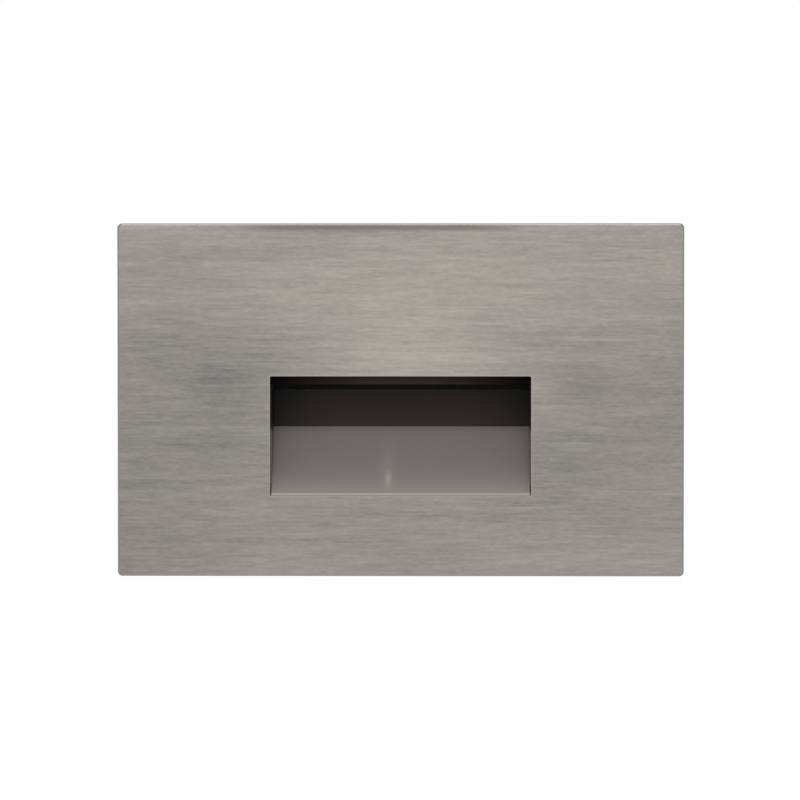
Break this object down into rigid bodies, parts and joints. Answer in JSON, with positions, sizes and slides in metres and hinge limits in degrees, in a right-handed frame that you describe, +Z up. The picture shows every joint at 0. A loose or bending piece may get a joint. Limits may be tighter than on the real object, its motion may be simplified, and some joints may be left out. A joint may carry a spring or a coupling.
{
  "type": "recessed step light",
  "caption": "Recessed LED step light: a flat brushed steel faceplate with a low rectangular scoop that throws light down, over a cast body for a wall box.",
  "frame": {"origin": "midway between the two box screws, on the surface of the wall that the light is let into", "axes": "+X to the right and +Z up, seen from the front; +Y into the wall, so the faceplate's front faces -Y"},
  "size_m": [0.1174, 0.0437, 0.0732],
  "materials": {
    "brushed_stainless": "brushed along its width",
    "satin_metal": "bead blasted and satin",
    "bezel_metal": "satin",
    "plated_steel": "nickel plated",
    "nickel": "nickel plated",
    "zinc_plated_steel": "zinc plated",
    "black_foam": "closed-cell foam",
    "cast_aluminium": "as cast",
    "milled_aluminium": "milled",
    "screw_steel": "stainless",
    "frosted_glass": "frosted",
    "grey_silicone": "matt",
    "white_board": "white solder mask",
    "led_phosphor": "phosphor under silicone",
    "thermal_pad": "soft silicone",
    "red_lead": "insulated",
    "black_rubber": "moulded",
    "green_screw": "green plated",
    "green_board": "green solder mask",
    "terminal_plastic": "moulded nylon",
    "resistor_enamel": "flameproof enamel",
    "blue_epoxy": "dipped epoxy",
    "shrink_sleeve": "shrink sleeve",
    "yellow_plastic": "moulded case",
    "black_plastic": "moulded epoxy",
    "capacitor_sleeve": "printed sleeve, bare here",
    "ferrite": "ground ferrite",
    "winding_tape": "polyester tape"
  },
  "bodies": {
    "light_body": {"mounting_plate": "zinc_plated_steel", "wall_gasket": "black_foam", "housing": "cast_aluminium", "flange_screws": "screw_steel", "scoop": "satin_metal", "scoop_gasket": "black_foam", "scoop_screws": "screw_steel", "led_carrier": "milled_aluminium", "carrier_screws": "screw_steel", "lens_bezel": "bezel_metal", "bezel_screws": "screw_steel", "lens": "frosted_glass", "lens_seal": "grey_silicone", "led_board": "white_board", "led_chips": "led_phosphor", "led_board_screws": "screw_steel", "thermal_pad": "thermal_pad", "led_leads": "red_lead", "lead_grommet": "black_rubber", "rear_cover": "cast_aluminium", "cover_seal": "black_rubber", "cover_screws": "screw_steel", "cable_grommet": "black_rubber", "ground_screw": "green_screw", "driver_board": "green_board", "driver_board_screws": "screw_steel", "input_terminal": "terminal_plastic", "fuse_resistor": "resistor_enamel", "varistor": "blue_epoxy", "drum_choke": "shrink_sleeve", "film_capacitor": "yellow_plastic", "bridge_rectifier": "black_plastic", "input_capacitor": "capacitor_sleeve", "output_capacitor": "capacitor_sleeve", "transformer_core": "ferrite", "transformer_winding": "winding_tape", "driver_chip": "black_plastic"},
    "faceplate_set": {"faceplate": "brushed_stainless", "magnet_cups": "plated_steel", "magnets": "nickel"}
  },
  "joints": [
    {"name": "faceplate_pull", "type": "slide", "parent": "light_body", "child": "faceplate_set", "axis": [0, -1, 0], "range_m": [0, 0.04]}
  ]
}
